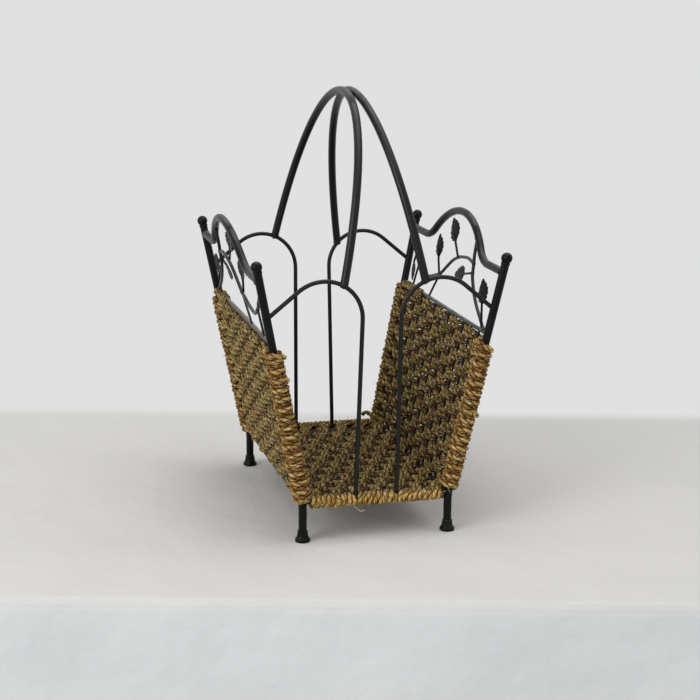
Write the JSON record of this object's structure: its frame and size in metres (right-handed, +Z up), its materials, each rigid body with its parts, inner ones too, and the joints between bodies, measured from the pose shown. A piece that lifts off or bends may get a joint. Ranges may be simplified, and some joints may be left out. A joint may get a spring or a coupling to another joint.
{
  "type": "magazine basket",
  "caption": "Free-standing magazine basket: a black welded frame with leaning sides and floor woven in seagrass, vine scrolls under curved top rails, and a tall double-hoop handle.",
  "frame": {"origin": "on the floor, at the centre of the footprint of the four feet", "axes": "+X from the left woven side to the right one, +Y along the woven sides from front to back, +Z up"},
  "size_m": [0.3078, 0.3564, 0.5055],
  "materials": {
    "black_iron": "satin black paint, worn to grey along the tops of the rails",
    "seagrass": "twisted seagrass cord, olive to straw and rust, dry and matt"
  },
  "bodies": {
    "root": {"post_front_left": "black_iron", "finial_front_left": "black_iron", "foot_front_left": "black_iron", "arch_front_left": "black_iron", "post_back_left": "black_iron", "finial_back_left": "black_iron", "foot_back_left": "black_iron", "arch_back_left": "black_iron", "post_front_right": "black_iron", "finial_front_right": "black_iron", "foot_front_right": "black_iron", "arch_front_right": "black_iron", "post_back_right": "black_iron", "finial_back_right": "black_iron", "foot_back_right": "black_iron", "arch_back_right": "black_iron", "floor_bar_front": "black_iron", "floor_bar_back": "black_iron", "floor_grid": "black_iron", "handle_hoop_left": "black_iron", "handle_hoop_right": "black_iron", "top_rail_left": "black_iron", "side_grid_left": "black_iron", "vine_stem_left": "black_iron", "vine_wave_left": "black_iron", "vine_strut_1_left": "black_iron", "vine_strut_2_left": "black_iron", "leaf_1_left": "black_iron", "leaf_2_left": "black_iron", "leaf_3_left": "black_iron", "leaf_4_left": "black_iron", "leaf_5_left": "black_iron", "top_rail_right": "black_iron", "side_grid_right": "black_iron", "vine_stem_right": "black_iron", "vine_wave_right": "black_iron", "vine_strut_1_right": "black_iron", "vine_strut_2_right": "black_iron", "leaf_1_right": "black_iron", "leaf_2_right": "black_iron", "leaf_3_right": "black_iron", "leaf_4_right": "black_iron", "leaf_5_right": "black_iron", "woven_floor": "seagrass", "woven_side_left": "seagrass", "woven_side_right": "seagrass"}
  },
  "joints": []
}
